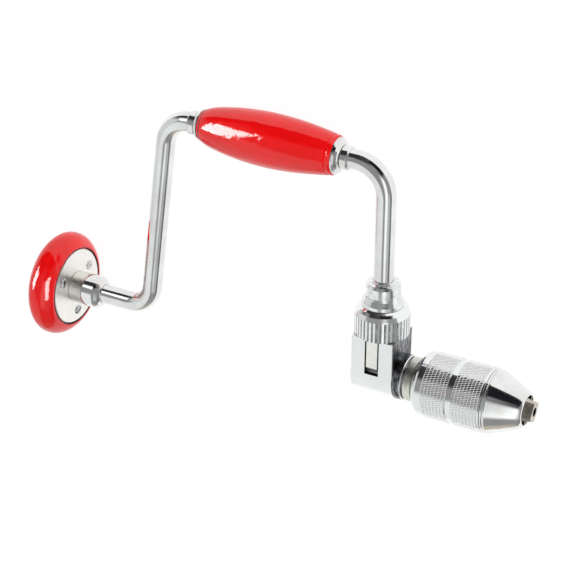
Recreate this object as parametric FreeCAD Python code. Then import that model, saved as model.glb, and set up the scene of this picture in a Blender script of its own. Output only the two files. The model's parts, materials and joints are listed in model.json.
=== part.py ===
import FreeCAD
import Part
import math
import os

# Carpenter's brace with a ratchet box and a two-jaw chuck, in millimetres.
# Local frame of the functions: X is the drill axis towards the chuck, Y is the crank arm,
# Z is square to the crank plane, and the origin is where the ratchet arm meets the drill axis.
# save() shifts everything so that the row frame's origin is in the middle of the jaws' grip.

GRIP_X = 85.0                 # middle of the gripping length, from the arm's centre line

# crank
ROD_R = 5.8
SWEEP_R = 127.0               # throw of the crank: half of the 254 mm sweep
FOOT_X = -154.0               # where the left arm leaves the drill axis
SHOULDER_X = -138.2           # where the left arm meets the grip run
BEND_FOOT = 16.0
BEND_LEFT = 17.0
BEND_RIGHT = 18.0
SOCKET_FLOOR_Y = 19.0         # the rod's lower end inside the ratchet box
ROD_NECK_X = -209.1           # shoulder of the threaded head end
HEAD_THREAD_R = 4.0
HEAD_THREAD_END_X = -217.4

# head
PAD_MID_X = -216.86
PAD_R = 31.96
PAD_FRONT = 15.05
PAD_REAR = 12.87
PAD_POWER = 2.15
RECESS_R = 24.0
FLANGE_BACK_X = -209.0
FLANGE_FACE_X = -207.0
FLANGE_R = 23.2
HUB_R = 9.6
HUB_END_X = -198.2
HEAD_BUSH_R = 7.4
SCREW_RING_R = 16.4
SCREW_COUNT = 3
SCREW_R = 2.0
SCREW_HEAD_R = 3.2
SCREW_END_X = -221.0
NUT_CAVITY_R = 9.2
NUT_CAVITY_X = -219.0
BALL_R = 0.75
BALL_RING_R = 8.45
BALL_COUNT = 18
BALL_X = -198.05
COLLAR_BACK_X = -197.9
COLLAR_R = 9.9

# sweep handle
GRIP_PROFILE = [
    (-115.2, 8.9), (-109.0, 11.35), (-101.0, 13.1), (-92.0, 14.4), (-83.0, 15.25), (-74.0, 15.65),
    (-65.0, 15.5), (-56.0, 14.95), (-47.0, 13.95), (-38.0, 12.6), (-33.4, 11.65),
]
GRIP_GROOVE_R = 10.95
GRIP_BEAD_R = 11.35
GRIP_LEFT_X = -115.2
GRIP_RIGHT_X = -30.0
LINER_R = 6.9
SPIGOT_R = 7.8
SPIGOT_LENGTH = 6.0
BUSH_LENGTH = 14.0
RUN_R = 5.86                  # bores that turn on the rod
STOP_LEFT_X = -118.2
STOP_RIGHT_X = -26.0
STOP_LENGTH = 4.5
STOP_R = 6.95

# ratchet box
BOX_HALF_X = 13.0
BOX_HALF_Z = 12.6
BOX_TOP_Y = 25.6
BOSS_R = 13.2
BOSS_END_X = 18.2
NECK_R = 9.93
NECK_TOP_Y = 43.35
CAVITY_R = 10.35
CAVITY_END_X = 5.8
COVER_R = 11.2
COVER_INNER_X = -11.2
BUSH_R = 10.0
JOURNAL_R = 8.0
JOURNAL_RUN_R = 8.05
REAR_JOURNAL_R = 5.0
REAR_RUN_R = 5.05
SLOT_HALF_X = 4.3
SLOT_FLOOR_Z = 7.4
SLOT_BOTTOM_Y = 3.0
TAIL_SLOT_HALF_X = 2.7
TAIL_SLOT_TOP_Y = 32.4

# pawls
PAWL_HALF_X = 3.9
PAWL_FACE_Z = 12.5
PAWL_BACK_Z = 8.7
PAWL_BOTTOM_Y = 7.0
PAWL_TOP_Y = 25.3
PIVOT_Y = 21.5
PIVOT_Z = 10.6
PIVOT_R = 1.1
PIVOT_RUN_R = 1.15
TAIL_HALF_X = 2.5
TAIL_TOP_Y = 31.8
TAIL_BACK_Z = 8.9
TAIL_FACE_Z = 11.0
NUB_Y = 29.5
NUB_FACE_Z = 12.1
NOSE_ANGLE = 30.0             # from +Z towards +Y, on the ratchet wheel
NOSE_TIP_R = 9.35
NOSE_HALF = 0.65
SPRING_POCKET_Z = 6.3

# ratchet wheel
WHEEL_R = 9.95
WHEEL_ROOT_R = 8.35
WHEEL_BORE_R = 6.0
WHEEL_TEETH = 12
GAP_ROOT_HALF = 1.38
GAP_TIP_HALF = 1.62
WHEEL_BACK_X = -5.1
WHEEL_FRONT_X = 4.5

# selector ring and the sleeve above it
RING_R = 15.8
RING_BOTTOM_Y = 25.75
RING_TOP_Y = 43.25
RING_FLUTE_TOP_Y = 38.4
RING_FLUTES = 40
FLUTE_R = 0.62
RING_RUN_R = 10.0
CAM_R = 12.4
CAM_OFFSET = 0.96
CAM_TOP_Y = 33.0
DETENT_Y = 38.0
DETENT_R = 1.2
SLEEVE_TOP_Y = 58.6
SLEEVE_R = 10.1
SLEEVE_FOOT_R = 12.0

# spindle
SHANK_R = 12.7
SHANK_BACK_X = 19.0
SHANK_END_X = 24.2
THREAD_R = 12.0
THREAD_ROOT_R = 11.1
THREAD_PITCH = 2.5
BARREL_X = 45.0
SPINDLE_END_X = 62.0
JAW_SLOT_X = 50.0
JAW_SLOT_HALF = 5.65

# chuck
SHELL_BACK_X = 25.6
SHELL_FRONT_X = 68.4
KNURL_R = 18.9
LIP_R = 18.55
GROOVE_R = 17.9
SHELL_THREAD_R = 12.1
SHELL_BORE_R = 15.4
SPIGOT_SEAT_R = 16.3
NOSE_SPIGOT_R = 16.2
NOSE_BACK_X = 62.8
NOSE_FLANGE_X = 70.0
NOSE_TIP_X = 89.8
MOUTH_R = 8.5
TAPER = 0.23                  # the nose bore opens by this much per millimetre
SNAP_X = 64.7
SNAP_WIDTH = 1.2

# jaws
JAW_TILT = -33.0              # turn of the jaws about the drill axis
JAW_HALF = 5.6                # in the spindle's slot
JAW_WIDE_HALF = 6.8           # in front of the spindle
JAW_BACK_X = 50.3
JAW_WIDE_X = 62.4
JAW_SNOUT_X = 88.2
JAW_TIP_X = 94.0
SNOUT_BACK = (6.8, 6.9, 2.3)  # half width, height and corner cut of the jaws' outline
SNOUT_TIP = (5.6, 4.0, 1.3)
JAW_FACE = 0.03
JAW_CLEAR = 0.06
JAW_TAIL_R = 9.3
JAW_BODY_R = 12.3
GRIP_R = 2.6
GRIP_LENGTH = 18.0
TANG_R = 4.6
TANG_BACK_X = 58.0
JAW_SPRING_X = 54.2

V = FreeCAD.Vector
X_AXIS = V(1, 0, 0)
Y_AXIS = V(0, 1, 0)
Z_AXIS = V(0, 0, 1)


def save(name, shape):
    moved = shape.copy()
    moved.translate(V(-GRIP_X, 0, 0))
    moved.exportStep("parts/" + name + ".step")


def lathe_x(points, y=0.0):
    """Turned part about a line along X: points are (x, radius)."""
    corners = [V(x, y + r, 0) for x, r in points]
    face = Part.Face(Part.makePolygon(corners + corners[:1]))
    return face.revolve(V(0, y, 0), X_AXIS, 360)


def lathe_y(points):
    """Turned part about the arm's centre line: points are (y, radius)."""
    corners = [V(r, y, 0) for y, r in points]
    face = Part.Face(Part.makePolygon(corners + corners[:1]))
    return face.revolve(V(0, 0, 0), Y_AXIS, 360)


def rod_x(x0, x1, radius, y=0.0, z=0.0):
    return Part.makeCylinder(radius, x1 - x0, V(x0, y, z), X_AXIS)


def rod_y(y0, y1, radius, x=0.0, z=0.0):
    return Part.makeCylinder(radius, y1 - y0, V(x, y0, z), Y_AXIS)


def block(x0, x1, y0, y1, z0, z1):
    return Part.makeBox(x1 - x0, y1 - y0, z1 - z0, V(x0, y0, z0))


def plate_x(points, x0, x1):
    """Flat piece with a (y, z) outline, running from x0 to x1."""
    corners = [V(x0, y, z) for y, z in points]
    face = Part.Face(Part.makePolygon(corners + corners[:1]))
    return face.extrude(V(x1 - x0, 0, 0))


def coil(radius, wire, length, turns, base, direction):
    """Helical compression spring of round wire."""
    rise = length - 2 * wire
    helix = Part.makeHelix(rise / turns, rise, radius)
    ring = Part.Wire(Part.makeCircle(wire, V(radius, 0, 0), Y_AXIS))
    spring = Part.Wire(helix).makePipeShell([ring], True, True)
    spring.translate(V(0, 0, wire))
    turn = FreeCAD.Rotation(Z_AXIS, direction)
    spring.Placement = FreeCAD.Placement(base, turn).multiply(spring.Placement)
    return spring


def mirror_z(shape):
    return shape.mirror(V(0, 0, 0), Z_AXIS)


def tilt(shape):
    turned = shape.copy()
    turned.rotate(V(0, 0, 0), X_AXIS, JAW_TILT)
    return turned


# ---------------------------------------------------------------- crank

def bend(before, corner, after, radius):
    """Tangent points and mid point of a bend at a corner of the rod."""
    a = (before - corner).normalize()
    b = (after - corner).normalize()
    half = a.getAngle(b) / 2
    reach = radius / math.tan(half)
    start = corner + a * reach
    end = corner + b * reach
    bisector = (a + b).normalize()
    centre = corner + bisector * (radius / math.sin(half))
    middle = centre - bisector * radius
    return start, middle, end


def crank_rod():
    start = V(ROD_NECK_X, 0, 0)
    foot = V(FOOT_X, 0, 0)
    left = V(SHOULDER_X, SWEEP_R, 0)
    right = V(0, SWEEP_R, 0)
    end = V(0, SOCKET_FLOOR_Y, 0)
    f0, fm, f1 = bend(start, foot, left, BEND_FOOT)
    l0, lm, l1 = bend(foot, left, right, BEND_LEFT)
    r0, rm, r1 = bend(left, right, end, BEND_RIGHT)
    edges = [
        Part.makeLine(start, f0),
        Part.Arc(f0, fm, f1).toShape(),
        Part.makeLine(f1, l0),
        Part.Arc(l0, lm, l1).toShape(),
        Part.makeLine(l1, r0),
        Part.Arc(r0, rm, r1).toShape(),
        Part.makeLine(r1, end),
    ]
    ring = Part.Wire(Part.makeCircle(ROD_R, start, X_AXIS))
    rod = Part.Wire(edges).makePipeShell([ring], True, False)
    stud = lathe_x([
        (ROD_NECK_X, 0), (ROD_NECK_X, HEAD_THREAD_R), (HEAD_THREAD_END_X + 0.6, HEAD_THREAD_R),
        (HEAD_THREAD_END_X, HEAD_THREAD_R - 0.6), (HEAD_THREAD_END_X, 0),
    ])
    rod = rod.fuse(stud).removeSplitter()
    return rod.cut(rod_x(-BOX_HALF_X, 9.0, 1.4, 22.2))


def rod_pin():
    return rod_x(-BOX_HALF_X + 0.05, 9.0, 1.4, 22.2)


def handle_stop(x0):
    return lathe_x([
        (x0, ROD_R), (x0, STOP_R - 0.3), (x0 + 0.3, STOP_R), (x0 + STOP_LENGTH - 0.8, STOP_R),
        (x0 + STOP_LENGTH, STOP_R - 0.7), (x0 + STOP_LENGTH, ROD_R),
    ], SWEEP_R)


def handle_stop_left():
    stop = handle_stop(-STOP_LEFT_X)
    return stop.mirror(V(0, 0, 0), X_AXIS)


# ---------------------------------------------------------------- head

def screw_spots():
    return [90 + i * 360.0 / SCREW_COUNT for i in range(SCREW_COUNT)]


def around_x(shape, angles):
    """Copies of a shape turned about the drill axis."""
    copies = []
    for angle in angles:
        one = shape.copy()
        one.rotate(V(0, 0, 0), X_AXIS, angle)
        copies.append(one)
    return Part.makeCompound(copies)


def pad_point(depth, quarter):
    x = PAD_MID_X + depth * math.cos(quarter) ** (2 / PAD_POWER)
    r = PAD_R * math.sin(quarter) ** (2 / PAD_POWER)
    return x, r


def head_pad():
    steps = 16
    rear = [pad_point(-PAD_REAR, math.radians(90 * i / steps)) for i in range(steps + 1)]
    front = [pad_point(PAD_FRONT, math.radians(90 - 90 * i / steps)) for i in range(1, steps)]
    front = [p for p in front if p[1] > RECESS_R + 0.8]
    rim_x = PAD_MID_X + PAD_FRONT * (1 - (RECESS_R / PAD_R) ** PAD_POWER) ** (1 / PAD_POWER)
    rim = (rim_x, RECESS_R)
    outline = [V(x, r, 0) for x, r in rear + front + [rim]]
    curve = Part.BSplineCurve()
    curve.interpolate(outline)
    inner = [
        V(rim_x, RECESS_R, 0), V(FLANGE_BACK_X, RECESS_R, 0), V(FLANGE_BACK_X, NUT_CAVITY_R, 0),
        V(NUT_CAVITY_X, NUT_CAVITY_R, 0), V(NUT_CAVITY_X, 0, 0), outline[0],
    ]
    edges = [curve.toShape()] + [Part.makeLine(a, b) for a, b in zip(inner[:-1], inner[1:])]
    pad = Part.Face(Part.Wire(edges)).revolve(V(0, 0, 0), X_AXIS, 360)
    pilot = rod_x(SCREW_END_X, FLANGE_BACK_X, SCREW_R, 0, SCREW_RING_R)
    return pad.cut(around_x(pilot, screw_spots()))


def head_flange():
    flange = lathe_x([
        (FLANGE_BACK_X, HEAD_BUSH_R), (FLANGE_BACK_X, FLANGE_R), (FLANGE_FACE_X - 0.4, FLANGE_R),
        (FLANGE_FACE_X, FLANGE_R - 0.4), (FLANGE_FACE_X, HUB_R + 0.4), (FLANGE_FACE_X - 0.4, HUB_R + 0.4),
        (FLANGE_FACE_X - 0.4, HUB_R), (HUB_END_X, HUB_R), (HUB_END_X, HEAD_BUSH_R),
    ])
    hole = lathe_x([
        (FLANGE_BACK_X, 0), (FLANGE_BACK_X, SCREW_R), (FLANGE_FACE_X - 1.7, SCREW_R),
        (FLANGE_FACE_X, SCREW_HEAD_R), (FLANGE_FACE_X, 0),
    ])
    hole.translate(V(0, 0, SCREW_RING_R))
    race = Part.makeTorus(BALL_RING_R, BALL_R, V(BALL_X, 0, 0), X_AXIS)
    return flange.cut(around_x(hole, screw_spots())).cut(race)


def head_screws():
    screw = lathe_x([
        (SCREW_END_X, 0), (SCREW_END_X + 2.5, SCREW_R), (FLANGE_FACE_X - 1.7, SCREW_R),
        (FLANGE_FACE_X, SCREW_HEAD_R), (FLANGE_FACE_X + 0.5, SCREW_HEAD_R - 0.5),
        (FLANGE_FACE_X + 0.85, SCREW_HEAD_R - 1.4), (FLANGE_FACE_X + 1.0, 0),
    ])
    slot = block(FLANGE_FACE_X - 0.4, FLANGE_FACE_X + 2, -SCREW_HEAD_R - 1, SCREW_HEAD_R + 1, -0.45, 0.45)
    screw = screw.cut(slot)
    screw.rotate(V(0, 0, 0), X_AXIS, 24)
    screw.translate(V(0, 0, SCREW_RING_R))
    return around_x(screw, screw_spots())


def head_bush():
    return lathe_x([
        (FLANGE_BACK_X, RUN_R), (FLANGE_BACK_X, HEAD_BUSH_R),
        (HUB_END_X - 0.3, HEAD_BUSH_R), (HUB_END_X - 0.3, RUN_R),
    ])


def head_bearing_balls():
    ball = Part.makeSphere(BALL_R - 0.02, V(BALL_X, 0, BALL_RING_R))
    return around_x(ball, [i * 360.0 / BALL_COUNT for i in range(BALL_COUNT)])


def head_collar():
    collar = lathe_x([
        (COLLAR_BACK_X, ROD_R), (COLLAR_BACK_X, COLLAR_R - 0.3), (COLLAR_BACK_X + 0.3, COLLAR_R),
        (-190.4, COLLAR_R), (-188.9, 9.3), (-187.5, 8.0), (-186.6, 6.7), (-186.5, ROD_R),
    ])
    return collar.cut(Part.makeTorus(BALL_RING_R, BALL_R, V(BALL_X, 0, 0), X_AXIS))


def head_washer():
    return lathe_x([
        (-210.2, HEAD_THREAD_R), (-210.2, 8.2), (ROD_NECK_X, 8.2), (ROD_NECK_X, HEAD_THREAD_R),
    ])


def head_nut():
    corners = []
    for i in range(6):
        angle = math.radians(60 * i)
        corners.append((7.5 * math.cos(angle), 7.5 * math.sin(angle)))
    return plate_x(corners, -215.6, -210.2).cut(rod_x(-216, -210, HEAD_THREAD_R))


# ---------------------------------------------------------------- sweep handle

def sweep_handle():
    curve = Part.BSplineCurve()
    points = [V(x, SWEEP_R + r, 0) for x, r in GRIP_PROFILE]
    curve.interpolate(points)
    rest = [
        (-33.4, 11.65), (-33.1, GRIP_GROOVE_R), (-32.3, GRIP_GROOVE_R), (-32.0, GRIP_BEAD_R),
        (-31.1, GRIP_BEAD_R), (GRIP_RIGHT_X, 10.6), (GRIP_RIGHT_X, SPIGOT_R),
        (GRIP_RIGHT_X - SPIGOT_LENGTH, SPIGOT_R), (GRIP_RIGHT_X - SPIGOT_LENGTH, LINER_R),
        (GRIP_LEFT_X + SPIGOT_LENGTH, LINER_R), (GRIP_LEFT_X + SPIGOT_LENGTH, SPIGOT_R),
        (GRIP_LEFT_X, SPIGOT_R), (GRIP_LEFT_X, 8.9),
    ]
    corners = [V(x, SWEEP_R + r, 0) for x, r in rest]
    edges = [curve.toShape()] + [Part.makeLine(a, b) for a, b in zip(corners[:-1], corners[1:])]
    return Part.Face(Part.Wire(edges)).revolve(V(0, SWEEP_R, 0), X_AXIS, 360)


def handle_ferrule_right():
    x = GRIP_RIGHT_X
    return lathe_x([
        (x - SPIGOT_LENGTH, LINER_R), (x - SPIGOT_LENGTH, SPIGOT_R), (x, SPIGOT_R), (x, 10.45),
        (x + 0.9, 10.3), (x + 2.0, 9.5), (x + 3.0, 8.3), (x + 3.7, 7.1), (x + 3.8, RUN_R),
        (x, RUN_R), (x, LINER_R),
    ], SWEEP_R)


def handle_ferrule_left():
    x = GRIP_LEFT_X
    return lathe_x([
        (x + SPIGOT_LENGTH, LINER_R), (x + SPIGOT_LENGTH, SPIGOT_R), (x, SPIGOT_R), (x, 8.75),
        (x - 0.8, 8.6), (x - 1.8, 8.0), (x - 2.6, 7.1), (x - 2.8, RUN_R),
        (x, RUN_R), (x, LINER_R),
    ], SWEEP_R)


def handle_bush(x0):
    return lathe_x([
        (x0, RUN_R), (x0, LINER_R), (x0 + BUSH_LENGTH, LINER_R), (x0 + BUSH_LENGTH, RUN_R),
    ], SWEEP_R)


# ---------------------------------------------------------------- ratchet box

def ratchet_box():
    upper = block(-BOX_HALF_X, BOX_HALF_X, 0, BOX_TOP_Y, -BOX_HALF_Z, BOX_HALF_Z)
    corners = [e for e in upper.Edges if abs(e.Vertexes[0].Y - e.Vertexes[1].Y) > 20]
    upper = upper.makeFillet(0.7, corners)
    lower = rod_x(-BOX_HALF_X, BOX_HALF_X, BOX_HALF_Z)
    boss = lathe_x([
        (BOX_HALF_X - 1, 0), (BOX_HALF_X - 1, BOSS_R - 0.7), (BOX_HALF_X, BOSS_R), (BOSS_END_X - 0.5, BOSS_R),
        (BOSS_END_X, BOSS_R - 0.5), (BOSS_END_X, 0),
    ])
    neck = rod_y(BOX_TOP_Y - 1, NECK_TOP_Y, NECK_R)
    body = upper.fuse([lower, boss, neck]).removeSplitter()
    body = body.cut(rod_x(COVER_INNER_X, CAVITY_END_X, CAVITY_R))
    body = body.cut(rod_x(-BOX_HALF_X, COVER_INNER_X, COVER_R))
    body = body.cut(rod_x(CAVITY_END_X, BOSS_END_X, BUSH_R))
    body = body.cut(rod_y(SOCKET_FLOOR_Y, NECK_TOP_Y, ROD_R))
    body = body.cut(rod_x(-BOX_HALF_X, 9.0, 1.4, 22.2))
    slot = block(-SLOT_HALF_X, SLOT_HALF_X, SLOT_BOTTOM_Y, BOX_TOP_Y, SLOT_FLOOR_Z, BOX_HALF_Z + 1)
    tail = block(-TAIL_SLOT_HALF_X, TAIL_SLOT_HALF_X, BOX_TOP_Y - 1, TAIL_SLOT_TOP_Y, SLOT_FLOOR_Z, BOX_HALF_Z)
    pocket = Part.makeCylinder(1.35, 2, V(0, NUB_Y, SPRING_POCKET_Z), Z_AXIS)
    pivot = rod_x(-BOX_HALF_X, 9.0, PIVOT_R, PIVOT_Y, PIVOT_Z)
    for tool in (slot, tail, pocket, pivot):
        body = body.cut(tool)
        body = body.cut(mirror_z(tool))
    return body.cut(rod_x(-NECK_R - 1, -6.5, DETENT_R + 0.05, DETENT_Y))


def ratchet_cover():
    cover = lathe_x([
        (-BOX_HALF_X, 0), (-BOX_HALF_X, COVER_R), (COVER_INNER_X, COVER_R), (COVER_INNER_X, 7.2),
        (-8.0, 7.2), (-8.0, REAR_RUN_R), (-12.0, REAR_RUN_R), (-12.0, 0),
    ])
    return cover.cut(block(-BOX_HALF_X - 1, -BOX_HALF_X + 0.6, -8, 8, -0.7, 0.7))


def spindle_bush():
    return lathe_x([
        (CAVITY_END_X, JOURNAL_RUN_R), (CAVITY_END_X, BUSH_R),
        (BOSS_END_X, BUSH_R), (BOSS_END_X, JOURNAL_RUN_R),
    ])


def pawl_pin():
    return rod_x(-BOX_HALF_X + 0.05, 9.0, PIVOT_R, PIVOT_Y, PIVOT_Z)


def polar(radius, side):
    """Point of the nose, at a distance along and across its line from the wheel's centre."""
    a = math.radians(NOSE_ANGLE)
    y = radius * math.sin(a) - side * math.cos(a)
    z = radius * math.cos(a) + side * math.sin(a)
    return y, z


def pawl():
    bar = plate_x([
        (PAWL_TOP_Y, PAWL_FACE_Z), (PAWL_BOTTOM_Y + 0.4, PAWL_FACE_Z), (PAWL_BOTTOM_Y, PAWL_FACE_Z - 0.4),
        (PAWL_BOTTOM_Y, 11.5), (5.0, 10.6), polar(10.4, NOSE_HALF), polar(NOSE_TIP_R, NOSE_HALF),
        polar(NOSE_TIP_R, -NOSE_HALF), polar(10.4, -NOSE_HALF), (7.2, PAWL_BACK_Z), (PAWL_TOP_Y, PAWL_BACK_Z),
    ], -PAWL_HALF_X, PAWL_HALF_X)
    tail = plate_x([
        (PAWL_TOP_Y - 1, PAWL_BACK_Z), (PAWL_TOP_Y, PAWL_BACK_Z), (PAWL_TOP_Y + 0.5, TAIL_BACK_Z),
        (TAIL_TOP_Y, TAIL_BACK_Z), (TAIL_TOP_Y, TAIL_FACE_Z), (PAWL_TOP_Y - 1, TAIL_FACE_Z),
    ], -TAIL_HALF_X, TAIL_HALF_X)
    nub = plate_x([
        (NUB_Y - 1.6, TAIL_FACE_Z - 0.2), (NUB_Y + 1.6, TAIL_FACE_Z - 0.2), (NUB_Y + 1.6, TAIL_FACE_Z),
        (NUB_Y + 0.7, NUB_FACE_Z), (NUB_Y - 0.7, NUB_FACE_Z), (NUB_Y - 1.6, TAIL_FACE_Z),
    ], -1.2, 1.2)
    solid = bar.fuse([tail, nub]).removeSplitter()
    return solid.cut(rod_x(-5, 5, PIVOT_RUN_R, PIVOT_Y, PIVOT_Z))


def pawl_spring():
    length = TAIL_BACK_Z - SPRING_POCKET_Z - 0.04
    return coil(0.95, 0.18, length, 4, V(0, NUB_Y, SPRING_POCKET_Z + 0.02), Z_AXIS)


def detent_ball():
    return Part.makeSphere(DETENT_R, V(-RING_RUN_R + 0.05 + DETENT_R, DETENT_Y, 0))


def detent_spring():
    return coil(0.75, 0.13, 1.0, 3, V(-7.53, DETENT_Y, 0), X_AXIS)


def arm_sleeve():
    return lathe_y([
        (NECK_TOP_Y, ROD_R), (NECK_TOP_Y, SLEEVE_FOOT_R - 0.3), (NECK_TOP_Y + 0.4, SLEEVE_FOOT_R),
        (45.6, SLEEVE_FOOT_R), (48.6, 10.5), (50.0, SLEEVE_R), (55.6, SLEEVE_R), (57.2, 9.2),
        (57.5, 7.3), (SLEEVE_TOP_Y, 6.9), (SLEEVE_TOP_Y, ROD_R),
    ])


def cam_ring():
    ring = lathe_y([
        (RING_BOTTOM_Y, 9.0), (RING_BOTTOM_Y, RING_R - 0.4), (RING_BOTTOM_Y + 0.4, RING_R),
        (RING_FLUTE_TOP_Y, RING_R), (RING_FLUTE_TOP_Y + 0.8, RING_R - 0.3), (41.0, 14.7),
        (42.4, 13.4), (RING_TOP_Y, 12.2), (RING_TOP_Y, 9.0),
    ])
    ring = ring.cut(rod_y(RING_BOTTOM_Y, RING_TOP_Y, RING_RUN_R))
    ring = ring.cut(rod_y(RING_BOTTOM_Y, CAM_TOP_Y, CAM_R, CAM_OFFSET))
    flutes = []
    for i in range(RING_FLUTES):
        angle = 2 * math.pi * (i + 0.5) / RING_FLUTES
        x = (RING_R + 0.15) * math.cos(angle)
        z = (RING_R + 0.15) * math.sin(angle)
        flutes.append(rod_y(RING_BOTTOM_Y - 1, RING_FLUTE_TOP_Y, FLUTE_R, x, z))
    ring = ring.cut(Part.makeCompound(flutes))
    notches = []
    for angle in (150, 180, 210):
        a = math.radians(angle)
        notches.append(rod_y(DETENT_Y - 2, DETENT_Y + 2, 0.9, 10.35 * math.cos(a), 10.35 * math.sin(a)))
    return ring.cut(Part.makeCompound(notches))


# ---------------------------------------------------------------- spindle

def key_block():
    return block(-3.5, 3.5, -1, 1, 4.8, 7.0)


def thread_groove():
    """Helical V groove of the spindle's outer thread."""
    x0 = SHANK_END_X - THREAD_PITCH
    length = BARREL_X - SHANK_END_X + 2 * THREAD_PITCH
    helix = Part.makeHelix(THREAD_PITCH, length, THREAD_R)
    half = THREAD_PITCH * 0.42
    corners = [V(THREAD_R + 0.4, 0, -half), V(THREAD_ROOT_R, 0, 0), V(THREAD_R + 0.4, 0, half)]
    profile = Part.makePolygon(corners + corners[:1])
    groove = Part.Wire(helix).makePipeShell([profile], True, True)
    groove.rotate(V(0, 0, 0), Y_AXIS, 90)
    groove.translate(V(x0, 0, 0))
    return groove


def spindle():
    solid = lathe_x([
        (-11.9, 0), (-11.9, REAR_JOURNAL_R - 0.4), (-11.5, REAR_JOURNAL_R), (-6.6, REAR_JOURNAL_R),
        (-6.6, WHEEL_BORE_R), (-6.1, WHEEL_BORE_R), (-6.1, 5.4), (-5.1, 5.4), (-5.1, WHEEL_BORE_R),
        (WHEEL_FRONT_X, WHEEL_BORE_R), (WHEEL_FRONT_X, JOURNAL_R), (SHANK_BACK_X, JOURNAL_R),
        (SHANK_BACK_X, SHANK_R - 0.4), (SHANK_BACK_X + 0.4, SHANK_R), (SHANK_END_X - 0.3, SHANK_R),
        (SHANK_END_X, THREAD_R), (BARREL_X, THREAD_R), (BARREL_X + 0.9, THREAD_ROOT_R),
        (SPINDLE_END_X - 0.6, THREAD_ROOT_R), (SPINDLE_END_X, THREAD_ROOT_R - 0.6), (SPINDLE_END_X, 0),
    ])
    solid = solid.cut(key_block())
    slot = tilt(block(JAW_SLOT_X, SPINDLE_END_X + 1, -JAW_SLOT_HALF, JAW_SLOT_HALF, -20, 20))
    return solid.cut(slot)


def threaded_spindle():
    plain = spindle()
    keep = rod_x(SHANK_END_X + 0.2, BARREL_X + 1.5, THREAD_R + 1)
    return plain.cut(thread_groove().common(keep))


def ratchet_wheel():
    wheel = rod_x(WHEEL_BACK_X, WHEEL_FRONT_X, WHEEL_R).cut(rod_x(WHEEL_BACK_X, WHEEL_FRONT_X, WHEEL_BORE_R))
    gap = plate_x([
        (-GAP_ROOT_HALF, WHEEL_ROOT_R), (GAP_ROOT_HALF, WHEEL_ROOT_R),
        (GAP_TIP_HALF, WHEEL_R + 0.2), (-GAP_TIP_HALF, WHEEL_R + 0.2),
    ], WHEEL_BACK_X, WHEEL_FRONT_X)
    wheel = wheel.cut(around_x(gap, [i * 360.0 / WHEEL_TEETH for i in range(WHEEL_TEETH)]))
    return wheel.cut(key_block())


def wheel_circlip():
    ring = rod_x(-6.0, -5.1, 7.4).cut(rod_x(-6.0, -5.1, 5.4))
    return ring.cut(block(-7, -5, -8, 0, -1.6, 1.6))


def spindle_thrust_washer():
    return rod_x(BOSS_END_X + 0.05, SHANK_BACK_X, 11.2).cut(rod_x(BOSS_END_X, SHANK_BACK_X, JOURNAL_R))


# ---------------------------------------------------------------- chuck

def bore_r(x):
    return MOUTH_R + (NOSE_TIP_X - x) * TAPER


def chuck_sleeve():
    return lathe_x([
        (SHELL_BACK_X, 12.95), (SHELL_BACK_X, 14.6), (26.0, 15.6), (27.0, 17.0), (28.1, 18.0), (29.3, LIP_R),
        (33.0, LIP_R), (33.0, KNURL_R), (47.6, KNURL_R), (47.6, GROOVE_R), (51.4, GROOVE_R), (51.4, KNURL_R),
        (67.0, KNURL_R), (67.0, LIP_R), (68.0, LIP_R), (SHELL_FRONT_X, LIP_R - 0.4),
        (SHELL_FRONT_X, SPIGOT_SEAT_R), (SNAP_X + SNAP_WIDTH, SPIGOT_SEAT_R), (SNAP_X + SNAP_WIDTH, 16.9),
        (SNAP_X, 16.9), (SNAP_X, SPIGOT_SEAT_R), (62.6, SPIGOT_SEAT_R), (62.6, SHELL_BORE_R),
        (44.5, SHELL_BORE_R), (44.5, SHELL_THREAD_R), (27.0, SHELL_THREAD_R), (27.0, 12.95),
    ])


def chuck_snap_ring():
    ring = rod_x(SNAP_X, SNAP_X + SNAP_WIDTH, 16.9).cut(rod_x(SNAP_X, SNAP_X + SNAP_WIDTH, 15.6))
    return ring.cut(block(SNAP_X - 1, SNAP_X + 3, -20, 0, -1.5, 1.5))


def thrust_ring():
    return lathe_x([
        (68.5, NOSE_SPIGOT_R), (68.5, 18.2), (68.8, 18.5), (69.6, 18.5), (69.9, 18.2),
        (NOSE_FLANGE_X, 18.2), (NOSE_FLANGE_X, NOSE_SPIGOT_R),
    ])


def nose_cone():
    return lathe_x([
        (NOSE_BACK_X, bore_r(NOSE_BACK_X)), (NOSE_BACK_X, NOSE_SPIGOT_R - 0.3), (NOSE_BACK_X + 0.3, NOSE_SPIGOT_R),
        (SNAP_X - 0.1, NOSE_SPIGOT_R), (SNAP_X - 0.1, 15.5), (SNAP_X + SNAP_WIDTH + 0.1, 15.5),
        (SNAP_X + SNAP_WIDTH + 0.1, NOSE_SPIGOT_R), (NOSE_FLANGE_X, NOSE_SPIGOT_R), (NOSE_FLANGE_X, 18.0),
        (70.3, 18.3), (71.3, 18.3), (71.8, 18.05), (79.0, 15.15), (86.0, 12.0), (87.8, 11.05), (88.9, 10.3),
        (89.5, 9.7), (NOSE_TIP_X, 9.1), (NOSE_TIP_X, MOUTH_R),
    ])


def snout_section(x, outline):
    """Half of an octagon, above the plane where the jaws meet."""
    half, height, cut = outline
    corners = [
        V(x, -half, JAW_FACE), V(x, -half, height - cut), V(x, cut - half, height), V(x, half - cut, height),
        V(x, half, height - cut), V(x, half, JAW_FACE),
    ]
    return Part.makePolygon(corners + corners[:1])


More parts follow.
